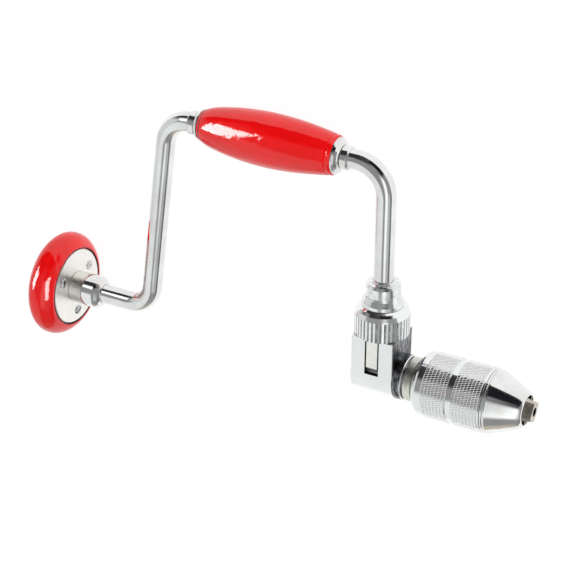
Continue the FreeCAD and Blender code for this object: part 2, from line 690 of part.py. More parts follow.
def jaw():
    """Front jaw before the tilt: it opens along +Z."""
    end = NOSE_TIP_X - (JAW_BODY_R + JAW_CLEAR - MOUTH_R) / TAPER
    core = lathe_x([
        (JAW_BACK_X, 0), (JAW_BACK_X, JAW_TAIL_R - 0.5), (JAW_BACK_X + 0.5, JAW_TAIL_R), (58.0, JAW_TAIL_R),
        (61.5, JAW_BODY_R), (end, JAW_BODY_R), (JAW_SNOUT_X, bore_r(JAW_SNOUT_X) - JAW_CLEAR), (JAW_SNOUT_X, 0),
    ])
    tail = block(JAW_BACK_X, JAW_WIDE_X, -JAW_HALF, JAW_HALF, JAW_FACE, 14)
    wide = block(JAW_WIDE_X, JAW_SNOUT_X, -JAW_WIDE_HALF, JAW_WIDE_HALF, JAW_FACE, 14)
    snout = Part.makeLoft(
        [snout_section(JAW_SNOUT_X, SNOUT_BACK), snout_section(JAW_TIP_X, SNOUT_TIP)], True, True)
    solid = core.common(tail.fuse(wide)).fuse(snout).removeSplitter()
    solid = solid.cut(rod_x(JAW_TIP_X - GRIP_LENGTH, JAW_TIP_X, GRIP_R))
    solid = solid.cut(rod_x(TANG_BACK_X, JAW_TIP_X - GRIP_LENGTH, TANG_R))
    return solid.cut(Part.makeCylinder(1.8, 3.5, V(JAW_SPRING_X, 0, 0), Z_AXIS))


def jaw_spring():
    return coil(1.4, 0.25, 6.96, 6, V(JAW_SPRING_X, 0, -3.48), Z_AXIS)


def main():
    os.makedirs("parts", exist_ok=True)
    save("crank_rod", crank_rod())
    save("rod_pin", rod_pin())
    save("handle_stop_left", handle_stop_left())
    save("handle_stop_right", handle_stop(STOP_RIGHT_X))
    save("head_pad", head_pad())
    save("head_flange", head_flange())
    save("head_screws", head_screws())
    save("head_bush", head_bush())
    save("head_bearing_balls", head_bearing_balls())
    save("head_collar", head_collar())
    save("head_washer", head_washer())
    save("head_nut", head_nut())
    save("sweep_handle", sweep_handle())
    save("handle_ferrule_left", handle_ferrule_left())
    save("handle_ferrule_right", handle_ferrule_right())
    save("handle_bush_left", handle_bush(GRIP_LEFT_X))
    save("handle_bush_right", handle_bush(GRIP_RIGHT_X - BUSH_LENGTH))
    save("ratchet_box", ratchet_box())
    save("ratchet_cover", ratchet_cover())
    save("spindle_bush", spindle_bush())
    save("pawl_pin_front", pawl_pin())
    save("pawl_pin_rear", mirror_z(pawl_pin()))
    save("pawl_front", pawl())
    save("pawl_rear", mirror_z(pawl()))
    save("pawl_spring_front", pawl_spring())
    save("pawl_spring_rear", mirror_z(pawl_spring()))
    save("detent_ball", detent_ball())
    save("detent_spring", detent_spring())
    save("arm_sleeve", arm_sleeve())
    save("cam_ring", cam_ring())
    save("spindle", threaded_spindle())
    save("wheel_key", key_block())
    save("ratchet_wheel", ratchet_wheel())
    save("wheel_circlip", wheel_circlip())
    save("spindle_thrust_washer", spindle_thrust_washer())
    save("chuck_sleeve", chuck_sleeve())
    save("chuck_snap_ring", chuck_snap_ring())
    save("thrust_ring", thrust_ring())
    save("nose_cone", nose_cone())
    save("jaw_front", tilt(jaw()))
    save("jaw_rear", tilt(mirror_z(jaw())))
    save("jaw_spring", tilt(jaw_spring()))


main()
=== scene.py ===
import json
import math

import bmesh
import bpy
from mathutils import Euler, Matrix, Vector, noise


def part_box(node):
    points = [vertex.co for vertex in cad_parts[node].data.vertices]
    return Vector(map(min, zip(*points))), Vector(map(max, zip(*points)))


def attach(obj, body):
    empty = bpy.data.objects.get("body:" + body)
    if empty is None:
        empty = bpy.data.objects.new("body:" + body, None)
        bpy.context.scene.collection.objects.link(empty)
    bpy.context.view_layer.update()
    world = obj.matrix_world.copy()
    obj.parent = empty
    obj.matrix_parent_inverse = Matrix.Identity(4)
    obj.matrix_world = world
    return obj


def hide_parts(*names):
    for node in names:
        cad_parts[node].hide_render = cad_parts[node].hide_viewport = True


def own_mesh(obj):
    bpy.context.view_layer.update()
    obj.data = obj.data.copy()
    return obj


# Carpenter's brace. Sizes below are in millimetres, and MM turns them into metres.
# The drill axis runs along X at y = 0 and z = 0, and the crank lies in the plane z = 0.
# X in a name or an outline counts from the centre line of the arm above the ratchet box.

MM = 0.001
MICRON = 0.000001
TURN = 2 * math.pi

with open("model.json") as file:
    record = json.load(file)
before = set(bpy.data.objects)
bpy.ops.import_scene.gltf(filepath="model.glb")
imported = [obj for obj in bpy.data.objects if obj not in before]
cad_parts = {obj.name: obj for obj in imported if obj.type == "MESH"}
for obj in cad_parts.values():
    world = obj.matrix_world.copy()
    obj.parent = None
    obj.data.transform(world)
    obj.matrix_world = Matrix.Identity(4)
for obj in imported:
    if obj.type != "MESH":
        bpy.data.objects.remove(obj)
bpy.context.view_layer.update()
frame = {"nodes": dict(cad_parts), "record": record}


def middle(node, axis):
    low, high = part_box(node)
    return (low[axis] + high[axis]) / 2


def reach(node, axis):
    low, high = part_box(node)
    return (high[axis] - low[axis]) / 2


# ---------------------------------------------------------------- driving dimensions

ARM_X = middle("arm_sleeve", 0) / MM      # the arm's centre line in the frame
SWEEP_Y = middle("sweep_handle", 1) / MM  # the grip's centre line

STEPS = 160                   # columns round a turned piece
FINE_STEPS = 192              # columns round a large one

ROD_R = 5.8
RUN_R = 5.86                  # bores that turn on the rod
FOOT_X, SHOULDER_X = -154.0, -138.2       # lower and upper end of the left arm
BEND_RADII = (16.0, 17.0, 18.0)           # at the foot, the shoulder and the right bend
NECK_X, SOCKET_Y = -209.1, 19.0           # the rod's two ends: in the head and in the ratchet box

PAD_MID_X, PAD_R = -216.86, 31.96
PAD_REAR, PAD_FRONT = 12.87, 15.05        # depth of the pad behind and before its widest place
PAD_POWER = 2.15              # 2 would make the pad's outline elliptic
PAD_RECESS_R, NUT_CAVITY_R = 24.0, 9.2
FLANGE_BACK_X, NUT_CAVITY_X = -209.0, -219.0
COLLAR_BACK_X, COLLAR_R = -197.9, 9.9

GRIP_LEFT_X, GRIP_RIGHT_X, GRIP_R = -115.2, -30.0, 15.65
BEAD_R, GROOVE_R, BEAD_WIDTH = 11.35, 10.95, 2.4
LINER_R, SPIGOT_R, SPIGOT = 6.9, 7.8, 6.0  # bores of the barrel, and how far the end caps go in
STOP_R, STOP_LENGTH = 6.95, 4.5
STOP_RIGHT_X, STOP_LEFT_X = -26.0, -118.2

BOX_SIDE_X, BOX_FRONT_Z = 13.0, 12.6
BOSS_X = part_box("ratchet_box")[1][0] / MM - ARM_X
SLOT_HALF_X, SLOT_BOTTOM_Y = 4.3, 3.0     # the pawl's slot in the box
PAWL_HALF_X, PAWL_BOTTOM_Y = reach("pawl_front", 0) / MM, 7.0
RING_R, FLUTE_TOP_Y = 15.8, 38.4          # selector ring
SLEEVE_Y, SLEEVE_TOP_Y = 43.35, 58.6      # lower and upper end of the arm's sleeve
SLEEVE_R, SLEEVE_FOOT_R = 10.1, 12.0
SPRING_Y, SPRING_FLOOR_Z = 29.5, 6.3      # pocket behind each pawl's tail

SHELL_BACK_X, SHELL_FRONT_X = 25.6, 68.4  # chuck sleeve
SHELL_BACK_R, SHELL_THREAD_R, SHELL_BORE_R = 12.95, 12.1, 15.4
LIP_R, MIDDLE_GROOVE_R = 18.55, 17.9
KNURL_POINTS = 88             # points round the sleeve
KNURL_HIGH, KNURL_LOW = 18.9, 18.72
BANDS = ((33.0, 47.6, 7), (51.4, 67.0, 8))  # start and end of each knurled band, and its columns of points
LEAN = -0.5                   # turn of each column of points against the one before it, in points
RIM, FLANK = 0.25, 0.18       # slope of a point along the sleeve in millimetres, and round it in points
NOSE_BACK_X, FLANGE_X, TIP_X = 62.8, 70.0, 89.8
SNAP_X, SNAP_WIDTH, SNAP_GROOVE_R = 64.7, 1.2, 16.9
NOSE_SPIGOT_R, SPIGOT_SEAT_R, NOSE_R = 16.2, 16.3, 18.3
MOUTH_R, TAPER = 8.5, 0.23    # the nose's bore opens by TAPER for each millimetre


# ---------------------------------------------------------------- meshes

STRAIGHT = math.radians(172)  # corners flatter than this stay as they are


def rounded(outline, radius, steps=3, closed=True):
    """Outline of (along, radius) points with each corner turned into a small arc."""
    points = [Vector(p) for p in outline]
    count = len(points)
    result = []
    for i, corner in enumerate(points):
        if not closed and i in (0, count - 1):
            result.append(corner)
            continue
        before = points[i - 1] - corner
        after = points[(i + 1) % count] - corner
        bend = before.angle(after, math.pi)
        if bend > STRAIGHT:
            result.append(corner)
            continue
        cut = min(radius / math.tan(bend / 2), before.length * 0.45, after.length * 0.45)
        start = corner + before.normalized() * cut
        end = corner + after.normalized() * cut
        for k in range(steps + 1):
            t = k / steps
            result.append(start * (1 - t) ** 2 + corner * 2 * t * (1 - t) + end * t * t)
    return result


def through(points, steps):
    """Smooth open curve through (along, radius) points."""
    knots = [Vector(p) for p in points]
    knots = [knots[0] * 2 - knots[1]] + knots + [knots[-1] * 2 - knots[-2]]
    curve = []
    for a, b, c, d in zip(knots, knots[1:], knots[2:], knots[3:]):
        for k in range(steps):
            t = k / steps
            curve.append(0.5 * (b * 2 + (c - a) * t + (a * 2 - b * 5 + c * 4 - d) * t ** 2
                                + (b * 3 - a - c * 3 + d) * t ** 3))
    return curve + [knots[-2]]


def grid_piece(name, columns, closed_along=True):
    """Mesh from columns of points, with UVs in metres: U round the piece and V along its outline."""
    rows = len(columns[0])
    vertices = [p for column in columns for p in column]
    faces = []
    marks = []
    spans = len(columns)
    steps = rows if closed_along else rows - 1
    along = [0.0]
    for k in range(1, rows + 1):
        along.append(along[-1] + (columns[0][k % rows] - columns[0][k - 1]).length)
    widest = max(max((column[0] - columns[0][0]).length for column in columns), 0.001)
    for i in range(spans):
        j = (i + 1) % spans
        for k in range(steps):
            m = (k + 1) % rows
            faces.append((i * rows + k, j * rows + k, j * rows + m, i * rows + m))
            u0, u1 = i / spans * widest * math.pi, (i + 1) / spans * widest * math.pi
            marks += [(u0, along[k]), (u1, along[k]), (u1, along[k + 1]), (u0, along[k + 1])]
    mesh = bpy.data.meshes.new(name)
    mesh.from_pydata(vertices, [], faces)
    layer = mesh.uv_layers.new(name="Turned")
    for loop, mark in zip(layer.data, marks):
        loop.uv = mark
    return finish_mesh(name, mesh)


def finish_mesh(name, mesh, sharp=38):
    """Piece from a mesh, smooth except at edges sharper than so many degrees."""
    work = bmesh.new()
    work.from_mesh(mesh)
    bmesh.ops.remove_doubles(work, verts=work.verts, dist=1e-7)
    bmesh.ops.dissolve_degenerate(work, edges=work.edges, dist=1e-8)
    bmesh.ops.recalc_face_normals(work, faces=work.faces)
    work.to_mesh(mesh)
    work.free()
    mesh.shade_smooth()
    mesh.set_sharp_from_angle(angle=math.radians(sharp))
    piece = bpy.data.objects.new(name, mesh)
    bpy.context.scene.collection.objects.link(piece)
    weighted = piece.modifiers.new("even_normals", "WEIGHTED_NORMAL")
    weighted.keep_sharp = True
    weighted.weight = 90
    return piece


def turned(name, outline, axis="X", offset=0.0, steps=STEPS, wobble=None):
    """Turned piece from a closed outline of (along, radius), about a line parallel to an axis.

    A line along X lies at y = offset, and one along Y lies in the arm's centre line."""
    columns = []
    for i in range(steps):
        angle = TURN * i / steps
        column = []
        for along, radius in outline:
            r = radius + (wobble(along, angle) if wobble else 0.0)
            if axis == "X":
                place = Vector((ARM_X + along, offset + r * math.cos(angle), r * math.sin(angle)))
            else:
                place = Vector((ARM_X + r * math.cos(angle), along, r * math.sin(angle)))
            column.append(place * MM)
        columns.append(column)
    return grid_piece(name, columns)


# ---------------------------------------------------------------- materials

def rgb(red, green, blue):
    return (red, green, blue, 1.0)


def grey(value):
    return rgb(value, value, value)


class Nodes:
    """Shader nodes of a material, a lamp or the world."""

    def __init__(self, tree):
        self.tree = tree

    def node(self, kind, **settings):
        made = self.tree.nodes.new("ShaderNode" + kind)
        for label, value in settings.items():
            setattr(made, label, value)
        return made

    def feed(self, value, socket):
        if isinstance(value, bpy.types.NodeSocket):
            self.tree.links.new(value, socket)
        else:
            socket.default_value = value

    def maths(self, operation, a, b=0.0):
        made = self.node("Math", operation=operation)
        self.feed(a, made.inputs[0])
        self.feed(b, made.inputs[1])
        return made.outputs[0]

    def times(self, first, *others):
        for other in others:
            first = self.maths("MULTIPLY", first, other)
        return first

    def remap(self, value, low, high, to_low=0.0, to_high=1.0):
        """Soft step between two values. With low above high it falls."""
        made = self.node("MapRange", interpolation_type="SMOOTHSTEP")
        self.feed(value, made.inputs["Value"])
        made.inputs["From Min"].default_value = low
        made.inputs["From Max"].default_value = high
        made.inputs["To Min"].default_value = to_low
        made.inputs["To Max"].default_value = to_high
        return made.outputs["Result"]

    def blend(self, factor, one, other):
        made = self.node("Mix", data_type="RGBA")
        self.feed(factor, made.inputs["Factor"])
        self.feed(one, made.inputs["A"])
        self.feed(other, made.inputs["B"])
        return made.outputs["Result"]


class Finish(Nodes):
    """A principled material whose detail comes from textures in the piece's own coordinates."""

    def __init__(self, name, **plain):
        self.material = bpy.data.materials.new(name)
        self.material.use_nodes = True
        super().__init__(self.material.node_tree)
        self.tree.nodes.clear()
        self.skin = self.node("BsdfPrincipled")
        output = self.node("OutputMaterial")
        self.tree.links.new(self.skin.outputs[0], output.inputs["Surface"])
        self.place = self.node("TexCoord")
        for label, value in plain.items():
            self.set(label.replace("_", " "), value)

    def set(self, label, value):
        self.feed(value, self.skin.inputs[label])

    def texture(self, scale, detail=3.0, rough=0.55, stretch=(1, 1, 1), turned=False, warp=0.0):
        """Noise from 0 to 1, with scale in marks per metre."""
        mapping = self.node("Mapping")
        self.feed(self.place.outputs["UV" if turned else "Object"], mapping.inputs["Vector"])
        mapping.inputs["Scale"].default_value = stretch
        noise_node = self.node("TexNoise")
        self.feed(mapping.outputs[0], noise_node.inputs["Vector"])
        noise_node.inputs["Scale"].default_value = scale
        noise_node.inputs["Detail"].default_value = detail
        noise_node.inputs["Roughness"].default_value = rough
        noise_node.inputs["Distortion"].default_value = warp
        return noise_node.outputs["Fac"]

    def bump(self, height, microns, under=None):
        """Normal from a height of 0 to 1 that stands for so many microns."""
        made = self.node("Bump")
        made.inputs["Strength"].default_value = 1.0
        made.inputs["Distance"].default_value = microns * MICRON
        self.feed(height, made.inputs["Height"])
        if under:
            self.feed(under, made.inputs["Normal"])
        return made.outputs["Normal"]

    def coordinates(self):
        """Place in metres: X from the arm's centre line, and Y and Z from the drill axis."""
        split = self.node("SeparateXYZ")
        self.feed(self.place.outputs["Object"], split.inputs[0])
        return self.maths("ADD", split.outputs["X"], -ARM_X * MM), split.outputs["Y"], split.outputs["Z"]

    def distance(self, first, second):
        """Distance in metres from the axis that is square to the two coordinates."""
        return self.maths("SQRT", self.maths("ADD", self.times(first, first), self.times(second, second)))

    def shade_lined(self, colour, gaps):
        """The colour with painted shade lines, meant for narrow gaps. They show on every face that they cross.

        Each gap is (axis, middle, half width) in millimetres, with R for the distance from the drill axis."""
        if not gaps:
            return colour
        x, y, z = self.coordinates()
        for axis, centre, width in gaps:
            spot = self.distance(y, z) if axis == "R" else {"X": x, "Y": y}[axis]
            off = self.maths("ABSOLUTE", self.maths("SUBTRACT", spot, centre * MM))
            line = self.remap(off, 0.7 * width * MM, 1.3 * width * MM, 1.0, 0.0)
            # Painted shade: near-black where the surface meets a narrow gap.
            colour = self.blend(line, colour, rgb(0.02, 0.015, 0.015))
        return colour


def chrome(name, clean, tired, gloss, haze, lines, turned=False):
    """Plated metal: polished by hand, so slightly uneven, with hazy patches and fine pits."""
    finish = Finish(name, Metallic=1.0)
    patches = finish.texture(55, 4, 0.6)
    finish.set("Base Color", finish.blend(finish.remap(patches, 0.35, 0.75), clean, tired))
    hazy = finish.remap(finish.texture(130, 5, 0.65, warp=0.4), 0.42, 0.72, gloss, haze)
    finish.set("Roughness", hazy)
    polish = finish.texture(900, 3, 0.5, stretch=lines, turned=turned)
    pits = finish.remap(finish.texture(1500, 2, 0.5), 0.68, 0.76)
    waves = finish.texture(85, 1, 0.4)
    normal = finish.bump(waves, 40)
    normal = finish.bump(polish, 1.2, normal)
    finish.set("Normal", finish.bump(pits, -8, normal))
    return finish.material


def satin(name, light, dark, rough, lines, gaps=()):
    """Brushed plated steel with a soft grain, a little soiling and rubbed patches; painted shade lines darken it
    in the given gaps.
    """
    finish = Finish(name, Metallic=1.0)
    grain = finish.texture(700, 4, 0.6, stretch=lines)
    patches = finish.texture(90, 4, 0.6, warp=0.3)
    tone = finish.maths("ADD", finish.times(grain, 0.5), finish.times(patches, 0.5))
    colour = finish.blend(finish.remap(tone, 0.36, 0.62), dark, light)
    # Painted shade lines in the given gaps.
    finish.set("Base Color", finish.shade_lined(colour, gaps))
    finish.set("Roughness", finish.remap(patches, 0.3, 0.7, rough * 0.8, rough * 1.25))
    normal = finish.bump(grain, 4)
    finish.set("Normal", finish.bump(finish.texture(260, 3, 0.5), 12, normal))
    return finish.material


def lacquer(name, deep, bright, grain):
    """Red gloss lacquer over turned wood: brush-coat waves, sunk grain and small dust nibs.

    Its painted shade lines lie round the pad's recess, at the grip's left end and beside its bead. The first
    depends only on the distance from the drill axis, so it also paints a circle of shade on the pad's back."""
    # Painted shade lines in the gaps round the pad's recess and at the grip's left end and bead.
    gaps = (("R", PAD_RECESS_R, 0.35), ("X", GRIP_LEFT_X, 0.8), ("X", GRIP_LEFT_X + BEAD_WIDTH, 0.3))
    finish = Finish(name, Roughness=0.5, Specular_IOR_Level=0.0, Coat_Weight=1.0, Coat_IOR=1.55)
    body = finish.texture(70, 4, 0.55, stretch=grain)
    streaks = finish.texture(420, 5, 0.6, stretch=grain)
    tone = finish.maths("ADD", finish.times(body, 0.6), finish.times(streaks, 0.4))
    colour = finish.blend(finish.remap(tone, 0.35, 0.65), deep, bright)
    finish.set("Base Color", finish.shade_lined(colour, gaps))
    finish.set("Coat Roughness", finish.remap(finish.texture(160, 4, 0.6), 0.4, 0.75, 0.03, 0.09))
    waves = finish.texture(85, 2, 0.45, warp=0.5)
    ripples = finish.texture(330, 3, 0.6, warp=0.6)
    nibs = finish.remap(finish.texture(1200, 1, 0.5), 0.74, 0.82)
    normal = finish.bump(waves, 350)
    normal = finish.bump(ripples, 70, normal)
    normal = finish.bump(nibs, 15, normal)
    finish.set("Coat Normal", normal)
    finish.set("Normal", finish.bump(streaks, 6, normal))
    return finish.material


def knurled(name, clean, dull):
    """Chrome that is rubbed bright on the points, and matt and pale in the grooves between them."""
    finish = Finish(name)
    radius = finish.distance(*finish.coordinates()[1:])
    low = finish.remap(radius, (KNURL_LOW + 0.04) * MM, (KNURL_HIGH - 0.04) * MM, 1.0, 0.0)
    out = finish.remap(radius, (KNURL_LOW - 0.12) * MM, (KNURL_LOW - 0.07) * MM)
    groove = finish.times(low, out, finish.remap(finish.texture(380, 3, 0.6), 0.25, 0.6, 0.65, 1.0))
    finish.set("Base Color", finish.blend(groove, clean, dull))
    finish.set("Metallic", finish.remap(groove, 0.0, 1.0, 1.0, 0.15))
    finish.set("Roughness", finish.remap(finish.texture(240, 4, 0.6), 0.35, 0.7, 0.08, 0.2))
    normal = finish.bump(finish.texture(900, 3, 0.5, stretch=(8, 1, 1)), 1.2)
    finish.set("Normal", finish.bump(finish.texture(160, 2, 0.4), 30, normal))
    return finish.material


def fluted(name, clean, flute_shade_tone):
    """Chromed selector ring with painted shade in the bottoms of its flutes."""
    finish = Finish(name, Metallic=1.0)
    x, y, z = finish.coordinates()
    low = finish.remap(finish.distance(x, z), (RING_R - 0.45) * MM, (RING_R - 0.05) * MM, 1.0, 0.0)
    body = finish.remap(y, (FLUTE_TOP_Y - 0.1) * MM, (FLUTE_TOP_Y + 0.1) * MM, 1.0, 0.0)
    # Painted shade in the flute bottoms, below the top of the flutes.
    flute_shade = finish.times(low, body, finish.remap(finish.texture(380, 3, 0.6), 0.3, 0.6, 0.6, 1.0))
    finish.set("Base Color", finish.blend(flute_shade, clean, flute_shade_tone))
    finish.set("Roughness", finish.remap(finish.texture(200, 4, 0.6), 0.35, 0.7, 0.10, 0.22))
    finish.set("Normal", finish.bump(finish.texture(300, 3, 0.5), 12))
    return finish.material


def cast_chrome(name, clean, tired):
    """Chrome over a casting that was hardly polished: lumpy, with milky patches and small dark pits."""
    finish = Finish(name, Metallic=1.0)
    pits = finish.remap(finish.texture(700, 3, 0.6, warp=0.5), 0.66, 0.72)
    patches = finish.remap(finish.texture(220, 4, 0.65, warp=0.6), 0.38, 0.64)
    finish.set("Base Color", finish.blend(pits, finish.blend(patches, clean, tired), grey(0.2)))
    finish.set("Roughness", finish.remap(finish.texture(150, 4, 0.6), 0.35, 0.7, 0.10, 0.26))
    normal = finish.bump(finish.texture(170, 2, 0.5, warp=0.4), 110)
    normal = finish.bump(finish.texture(600, 3, 0.6), 12, normal)
    finish.set("Normal", finish.bump(pits, -10, normal))
    return finish.material


def box_plate(name, light, dark, reflection_pale, reflection_black):
    """Satin front with painted shade in its slots. The end face and its boss carry a streaky painted dark
    reflection, up to the boss's lip, which keeps the bright front colour.
    """
    finish = Finish(name, Metallic=1.0)
    x, y, z = finish.coordinates()
    grain = finish.texture(500, 4, 0.6, stretch=(0.4, 1, 1))
    patches = finish.texture(80, 4, 0.6, warp=0.3)
    front = finish.blend(finish.remap(patches, 0.35, 0.65), dark, light)
    streaks = finish.texture(260, 5, 0.65, stretch=(1.0, 0.35, 2.0), warp=0.8)
    # Painted dark reflection on the end face and boss, streaky between its two tones.
    end = finish.blend(finish.remap(streaks, 0.42, 0.62), reflection_black, reflection_pale)
    face = finish.remap(x, (BOX_SIDE_X - 0.5) * MM, (BOX_SIDE_X - 0.1) * MM)
    lip = finish.remap(x, (BOSS_X - 0.8) * MM, (BOSS_X - 0.5) * MM, 1.0, 0.0)
    skin = finish.blend(finish.times(face, lip), front, end)
    # Painted shade inside the pawl's slot, near-black.
    across = finish.remap(
        finish.maths("ABSOLUTE", x), (SLOT_HALF_X + 0.1) * MM, (SLOT_HALF_X + 0.3) * MM, 1.0, 0.0)
    deep = finish.remap(
        finish.maths("ABSOLUTE", z), (BOX_FRONT_Z - 0.25) * MM, (BOX_FRONT_Z - 0.1) * MM, 1.0, 0.0)
    above = finish.remap(y, (SLOT_BOTTOM_Y - 0.3) * MM, (SLOT_BOTTOM_Y - 0.1) * MM)
    finish.set("Base Color", finish.blend(finish.times(across, deep, above), skin, grey(0.05)))
    finish.set("Roughness", finish.remap(patches, 0.3, 0.7, 0.24, 0.36))
    normal = finish.bump(grain, 1.5)
    finish.set("Normal", finish.bump(streaks, 10, normal))
    return finish.material


def pawl_plate(name):
    """Satin plate with painted shade at the edges that lie in the slot."""
    gaps = (("X", -PAWL_HALF_X, 0.5), ("X", PAWL_HALF_X, 0.5), ("Y", PAWL_BOTTOM_Y, 0.4))
    return satin(name, rgb(0.96, 0.95, 0.90), rgb(0.86, 0.85, 0.80), 0.32, (0.3, 1, 1), gaps)


def nickel(name, gaps=()):
    return satin(name, rgb(0.84, 0.85, 0.78), rgb(0.50, 0.51, 0.46), 0.34, (3, 0.3, 0.3), gaps)


FINISHES = {
    "chrome_rod": chrome(
        "chrome_rod", rgb(0.83, 0.84, 0.84), rgb(0.72, 0.72, 0.71), 0.07, 0.15, (0.2, 0.2, 1)),
    "chrome_trim": chrome(
        "chrome_trim", rgb(0.85, 0.86, 0.86), rgb(0.72, 0.71, 0.69), 0.06, 0.14, (1, 6, 1), turned=True),
    "satin_chrome": satin("satin_chrome", rgb(0.74, 0.75, 0.76), grey(0.62), 0.32, (0.15, 1, 1)),
    "satin_plate": satin("satin_plate", rgb(0.94, 0.93, 0.89), rgb(0.84, 0.83, 0.79), 0.34, (1, 1, 1)),
    "screw_zinc": satin("screw_zinc", rgb(0.72, 0.72, 0.73), rgb(0.42, 0.42, 0.43), 0.20, (1, 1, 1)),
    "dull_nickel": nickel("dull_nickel"),
    "jaw_steel": satin("jaw_steel", rgb(0.70, 0.64, 0.56), rgb(0.40, 0.36, 0.31), 0.22, (0.2, 2, 2)),
    "steel": satin("steel", grey(0.60), grey(0.40), 0.26, (1, 1, 1)),
    "bronze": satin("bronze", rgb(0.62, 0.40, 0.18), rgb(0.42, 0.25, 0.11), 0.30, (1, 1, 1)),
    "knurled_chrome": knurled("knurled_chrome", rgb(0.84, 0.85, 0.86), rgb(0.78, 0.78, 0.77)),
    "red_lacquer": lacquer("red_lacquer", rgb(0.78, 0.003, 0.004), rgb(0.90, 0.004, 0.005), (0.25, 1, 1)),
}
SPECIAL = {
    "arm_sleeve": cast_chrome("cast_chrome", rgb(0.88, 0.89, 0.90), rgb(0.74, 0.75, 0.75)),
    "pawl_front": pawl_plate("pawl_plate"),
    "pawl_rear": pawl_plate("pawl_plate_rear"),
    # Painted shadow line on the spindle where it comes out of the boss.
    "spindle": nickel("spindle_nickel", [("X", BOSS_X + 0.3, 0.7)]),
    # grey(0.22) is the painted shade in the bottoms of the flutes.
    "cam_ring": fluted("flute_chrome", rgb(0.86, 0.87, 0.87), grey(0.22)),
    # Its last two colours are the painted dark reflection on the box's end face and boss.
    "ratchet_box": box_plate("box_plate", rgb(0.95, 0.96, 0.96), rgb(0.86, 0.87, 0.87),
                             rgb(0.34, 0.35, 0.37), rgb(0.035, 0.035, 0.04)),
}
node_slots = {part["node"]: part["material_slot"] for part in frame["record"]["subparts"]}


def paint(piece, node):
    """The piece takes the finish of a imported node: its own, or that of its slot."""
    finish = SPECIAL.get(node, FINISHES[node_slots[node]])
    if piece.material_slots:
        for place in piece.material_slots:
            place.material = finish
    else:
        piece.data.materials.append(finish)


for node_name in node_slots:
    paint(frame["nodes"][node_name], node_name)


def stand_for(piece, node, body):
    """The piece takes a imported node's place, finish and body."""
    paint(piece, node)
    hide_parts(node)
    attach(piece, body)
    return piece


# ---------------------------------------------------------------- crank

ROD_SIDES = 56
# Each point of the stud has its share of the rod's radius and its distance past the neck.
STUD = ((0.0, 8.3), (0.59, 8.3), (0.69, 7.7), (0.69, 0.0), (0.95, 0.0))
STUD_BEVEL = 0.4


def crank_route(step=0.06):
    """Points and directions along the bent rod's centre line."""
    ends = ((NECK_X, 0), (FOOT_X, 0), (SHOULDER_X, SWEEP_Y), (0, SWEEP_Y), (0, SOCKET_Y))
    corners = [Vector(p) for p in ends]
    route = [(corners[0], (corners[1] - corners[0]).normalized())]
    for before, corner, after, radius in zip(corners, corners[1:], corners[2:], BEND_RADII):
        into = (corner - before).normalized()
        out = (after - corner).normalized()
        turn = into.angle(out)
        side = 1 if into.cross(out) > 0 else -1
        start = corner - into * radius * math.tan(turn / 2)
        centre = start + Vector((-into.y, into.x)) * side * radius
        count = max(int(turn / step), 8)
        for k in range(count + 1):
            swing = Matrix.Rotation(side * turn * k / count, 2)
            route.append((centre + swing @ (start - centre), swing @ into))
    route.append((corners[-1], route[-1][1]))
    return route


def crank_rod():
    """Rod swept along its route, with a turned-down stud inside the head."""
    route = crank_route()
    columns = []
    for i in range(ROD_SIDES):
        angle = TURN * i / ROD_SIDES
        column = []
        for point, heading in route:
            place = point + Vector((-heading.y, heading.x)) * ROD_R * math.cos(angle)
            column.append(Vector((ARM_X + place.x, place.y, ROD_R * math.sin(angle))) * MM)
        first = Vector((column[0].x, 0, 0))
        stud = [first + (column[0] - first) * share + Vector((-length * MM, 0, 0)) for share, length in STUD]
        edge = column[0] + Vector((STUD_BEVEL * MM, 0, 0))
        last = Vector((ARM_X * MM, column[-1].y, 0))
        columns.append(stud + [edge] + column[1:] + [last + (column[-1] - last) * 0.9, last])
    return grid_piece("crank_bar", columns, closed_along=False)


crank_bar = stand_for(crank_rod(), "crank_rod", "frame")


# ---------------------------------------------------------------- head

def pad_outline():
    """Bun-shaped pad with a recess for the flange and a cavity for the nut."""
    steps = 28
    curve = []
    for depth, first, last in ((-PAD_REAR, 0, 90), (PAD_FRONT, 90, 0)):
        for k in range(steps + 1):
            quarter = math.radians(first + (last - first) * k / steps)
            curve.append(Vector((PAD_MID_X + depth * max(math.cos(quarter), 0) ** (2 / PAD_POWER),
                                 PAD_R * math.sin(quarter) ** (2 / PAD_POWER))))
    front = [p for p in curve[:-1] if p.x < PAD_MID_X + 2 or p.y > PAD_RECESS_R + 0.9]
    rim = front[-1]
    lip = [
        rim, (rim.x + 0.15, PAD_RECESS_R + 0.5), (rim.x - 0.15, PAD_RECESS_R + 0.15),
        (rim.x - 0.9, PAD_RECESS_R),
    ]
    cavity = [
        (FLANGE_BACK_X, PAD_RECESS_R), (FLANGE_BACK_X, NUT_CAVITY_R), (NUT_CAVITY_X, NUT_CAVITY_R),
        (NUT_CAVITY_X, 0.0),
    ]
    return front + rounded(lip + cavity, 0.3, closed=False)[1:]


def pad_shape(along, angle):
    """Slight unevenness of hand-turned wood, always inward."""
    lumps = noise.noise(Vector((along * 0.05, math.cos(angle) * 1.3, math.sin(angle) * 1.3)))
    return -0.10 * (0.5 + 0.5 * lumps) if along < FLANGE_BACK_X - 0.5 else 0.0


head_bun = turned("head_bun", pad_outline(), steps=FINE_STEPS, wobble=pad_shape)
stand_for(head_bun, "head_pad", "head")

collar = rounded([
    (COLLAR_BACK_X, ROD_R), (COLLAR_BACK_X, COLLAR_R), (-190.4, COLLAR_R), (-188.9, 9.3), (-187.5, 8.0),
    (-186.6, 6.7), (-186.5, ROD_R),
], 0.35)
head_ring = stand_for(turned("head_ring", collar), "head_collar", "frame")


# ---------------------------------------------------------------- sweep handle

